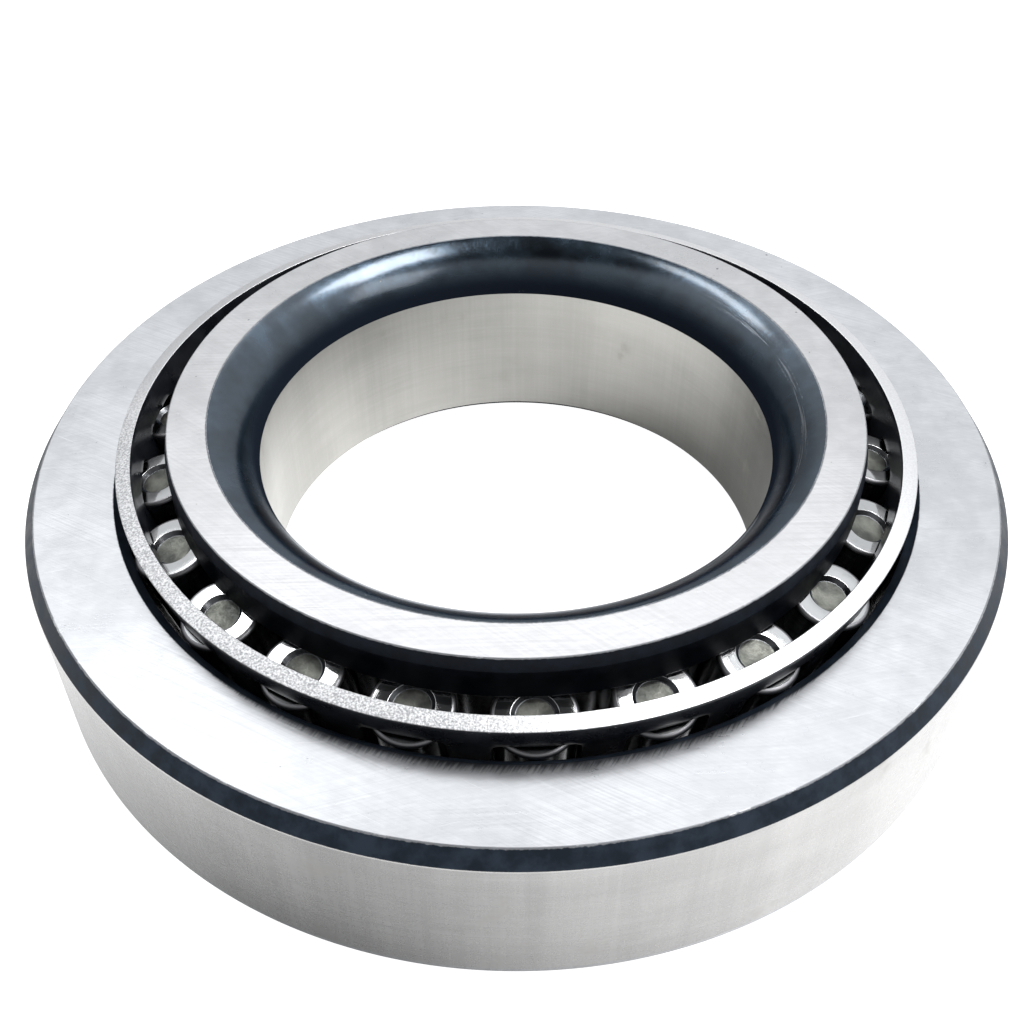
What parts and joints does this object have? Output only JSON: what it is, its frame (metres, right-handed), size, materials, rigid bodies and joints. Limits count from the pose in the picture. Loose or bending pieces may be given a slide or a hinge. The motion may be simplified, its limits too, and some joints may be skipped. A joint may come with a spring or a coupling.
{
  "type": "tapered roller bearing",
  "caption": "Single-row tapered roller bearing: wide-faced cup, ribbed cone with a deep black bore corner, pressed steel cage and tapered rollers that turn together.",
  "frame": {"origin": "on the bearing's axis, level with the cup's back face, on which the bearing lies", "axes": "+Z along the bearing's axis, towards the cone's back face and the rollers' large ends; +X and +Y lie in the cup's back face, and roller_01 is close to -Y"},
  "size_m": [0.085, 0.085, 0.0207],
  "materials": {
    "ground_ring_steel": "ground faces, black oxide left on the front chamfer",
    "ground_cone_steel": "ground back face and bore, black oxide left on the bore corner and the rib",
    "pressed_cage_steel": "pressed sheet, bright sheared top edge",
    "polished_roller_steel": "superfinished, matte dimple in the large end"
  },
  "bodies": {
    "outer_ring": {"outer_ring": "ground_ring_steel"},
    "inner_ring": {"inner_ring": "ground_cone_steel"},
    "cage": {"cage": "pressed_cage_steel"},
    "roller_01": {"roller_01": "polished_roller_steel"},
    "roller_02": {"roller_02": "polished_roller_steel"},
    "roller_03": {"roller_03": "polished_roller_steel"},
    "roller_04": {"roller_04": "polished_roller_steel"},
    "roller_05": {"roller_05": "polished_roller_steel"},
    "roller_06": {"roller_06": "polished_roller_steel"},
    "roller_07": {"roller_07": "polished_roller_steel"},
    "roller_08": {"roller_08": "polished_roller_steel"},
    "roller_09": {"roller_09": "polished_roller_steel"},
    "roller_10": {"roller_10": "polished_roller_steel"},
    "roller_11": {"roller_11": "polished_roller_steel"},
    "roller_12": {"roller_12": "polished_roller_steel"},
    "roller_13": {"roller_13": "polished_roller_steel"},
    "roller_14": {"roller_14": "polished_roller_steel"},
    "roller_15": {"roller_15": "polished_roller_steel"},
    "roller_16": {"roller_16": "polished_roller_steel"},
    "roller_17": {"roller_17": "polished_roller_steel"},
    "roller_18": {"roller_18": "polished_roller_steel"},
    "roller_19": {"roller_19": "polished_roller_steel"},
    "roller_20": {"roller_20": "polished_roller_steel"},
    "roller_21": {"roller_21": "polished_roller_steel"},
    "roller_22": {"roller_22": "polished_roller_steel"}
  },
  "joints": [
    {"name": "inner_ring_spin", "type": "hinge", "parent": "outer_ring", "child": "inner_ring", "pos_m": [0, 0, 0], "axis": [0, 0, 1], "continuous": true},
    {"name": "cage_spin", "type": "hinge", "parent": "outer_ring", "child": "cage", "pos_m": [0, 0, 0], "axis": [0, 0, 1], "continuous": true},
    {"name": "roller_01_spin", "type": "hinge", "parent": "cage", "child": "roller_01", "pos_m": [0.00136, -0.0311, 0.0163], "axis": [0.0094, -0.2162, 0.9763], "continuous": true},
    {"name": "roller_02_spin", "type": "hinge", "parent": "cage", "child": "roller_02", "pos_m": [0.01006, -0.02946, 0.0163], "axis": [0.07, -0.2048, 0.9763], "continuous": true},
    {"name": "roller_03_spin", "type": "hinge", "parent": "cage", "child": "roller_03", "pos_m": [0.01796, -0.02543, 0.0163], "axis": [0.1248, -0.1768, 0.9763], "continuous": true},
    {"name": "roller_04_spin", "type": "hinge", "parent": "cage", "child": "roller_04", "pos_m": [0.02439, -0.01934, 0.0163], "axis": [0.1696, -0.1345, 0.9763], "continuous": true},
    {"name": "roller_05_spin", "type": "hinge", "parent": "cage", "child": "roller_05", "pos_m": [0.02885, -0.01168, 0.0163], "axis": [0.2006, -0.0812, 0.9763], "continuous": true},
    {"name": "roller_06_spin", "type": "hinge", "parent": "cage", "child": "roller_06", "pos_m": [0.03098, -0.00308, 0.0163], "axis": [0.2154, -0.0214, 0.9763], "continuous": true},
    {"name": "roller_07_spin", "type": "hinge", "parent": "cage", "child": "roller_07", "pos_m": [0.03059, 0.00577, 0.0163], "axis": [0.2127, 0.0401, 0.9763], "continuous": true},
    {"name": "roller_08_spin", "type": "hinge", "parent": "cage", "child": "roller_08", "pos_m": [0.02773, 0.01415, 0.0163], "axis": [0.1928, 0.0984, 0.9763], "continuous": true},
    {"name": "roller_09_spin", "type": "hinge", "parent": "cage", "child": "roller_09", "pos_m": [0.02261, 0.02139, 0.0163], "axis": [0.1572, 0.1487, 0.9763], "continuous": true},
    {"name": "roller_10_spin", "type": "hinge", "parent": "cage", "child": "roller_10", "pos_m": [0.01567, 0.0269, 0.0163], "axis": [0.109, 0.187, 0.9763], "continuous": true},
    {"name": "roller_11_spin", "type": "hinge", "parent": "cage", "child": "roller_11", "pos_m": [0.00746, 0.03022, 0.0163], "axis": [0.0519, 0.2101, 0.9763], "continuous": true},
    {"name": "roller_12_spin", "type": "hinge", "parent": "cage", "child": "roller_12", "pos_m": [-0.00136, 0.0311, 0.0163], "axis": [-0.0094, 0.2162, 0.9763], "continuous": true},
    {"name": "roller_13_spin", "type": "hinge", "parent": "cage", "child": "roller_13", "pos_m": [-0.01006, 0.02946, 0.0163], "axis": [-0.07, 0.2048, 0.9763], "continuous": true},
    {"name": "roller_14_spin", "type": "hinge", "parent": "cage", "child": "roller_14", "pos_m": [-0.01796, 0.02543, 0.0163], "axis": [-0.1248, 0.1768, 0.9763], "continuous": true},
    {"name": "roller_15_spin", "type": "hinge", "parent": "cage", "child": "roller_15", "pos_m": [-0.02439, 0.01934, 0.0163], "axis": [-0.1696, 0.1345, 0.9763], "continuous": true},
    {"name": "roller_16_spin", "type": "hinge", "parent": "cage", "child": "roller_16", "pos_m": [-0.02885, 0.01168, 0.0163], "axis": [-0.2006, 0.0812, 0.9763], "continuous": true},
    {"name": "roller_17_spin", "type": "hinge", "parent": "cage", "child": "roller_17", "pos_m": [-0.03098, 0.00308, 0.0163], "axis": [-0.2154, 0.0214, 0.9763], "continuous": true},
    {"name": "roller_18_spin", "type": "hinge", "parent": "cage", "child": "roller_18", "pos_m": [-0.03059, -0.00577, 0.0163], "axis": [-0.2127, -0.0401, 0.9763], "continuous": true},
    {"name": "roller_19_spin", "type": "hinge", "parent": "cage", "child": "roller_19", "pos_m": [-0.02773, -0.01415, 0.0163], "axis": [-0.1928, -0.0984, 0.9763], "continuous": true},
    {"name": "roller_20_spin", "type": "hinge", "parent": "cage", "child": "roller_20", "pos_m": [-0.02261, -0.02139, 0.0163], "axis": [-0.1572, -0.1487, 0.9763], "continuous": true},
    {"name": "roller_21_spin", "type": "hinge", "parent": "cage", "child": "roller_21", "pos_m": [-0.01567, -0.0269, 0.0163], "axis": [-0.109, -0.187, 0.9763], "continuous": true},
    {"name": "roller_22_spin", "type": "hinge", "parent": "cage", "child": "roller_22", "pos_m": [-0.00746, -0.03022, 0.0163], "axis": [-0.0519, -0.2101, 0.9763], "continuous": true}
  ],
  "couplings": [
    {"joint": "cage_spin", "follows": "inner_ring_spin", "ratio": 0.44904},
    {"joint": "roller_01_spin", "follows": "inner_ring_spin", "ratio": -4.7395},
    {"joint": "roller_02_spin", "follows": "inner_ring_spin", "ratio": -4.7395},
    {"joint": "roller_03_spin", "follows": "inner_ring_spin", "ratio": -4.7395},
    {"joint": "roller_04_spin", "follows": "inner_ring_spin", "ratio": -4.7395},
    {"joint": "roller_05_spin", "follows": "inner_ring_spin", "ratio": -4.7395},
    {"joint": "roller_06_spin", "follows": "inner_ring_spin", "ratio": -4.7395},
    {"joint": "roller_07_spin", "follows": "inner_ring_spin", "ratio": -4.7395},
    {"joint": "roller_08_spin", "follows": "inner_ring_spin", "ratio": -4.7395},
    {"joint": "roller_09_spin", "follows": "inner_ring_spin", "ratio": -4.7395},
    {"joint": "roller_10_spin", "follows": "inner_ring_spin", "ratio": -4.7395},
    {"joint": "roller_11_spin", "follows": "inner_ring_spin", "ratio": -4.7395},
    {"joint": "roller_12_spin", "follows": "inner_ring_spin", "ratio": -4.7395},
    {"joint": "roller_13_spin", "follows": "inner_ring_spin", "ratio": -4.7395},
    {"joint": "roller_14_spin", "follows": "inner_ring_spin", "ratio": -4.7395},
    {"joint": "roller_15_spin", "follows": "inner_ring_spin", "ratio": -4.7395},
    {"joint": "roller_16_spin", "follows": "inner_ring_spin", "ratio": -4.7395},
    {"joint": "roller_17_spin", "follows": "inner_ring_spin", "ratio": -4.7395},
    {"joint": "roller_18_spin", "follows": "inner_ring_spin", "ratio": -4.7395},
    {"joint": "roller_19_spin", "follows": "inner_ring_spin", "ratio": -4.7395},
    {"joint": "roller_20_spin", "follows": "inner_ring_spin", "ratio": -4.7395},
    {"joint": "roller_21_spin", "follows": "inner_ring_spin", "ratio": -4.7395},
    {"joint": "roller_22_spin", "follows": "inner_ring_spin", "ratio": -4.7395}
  ]
}
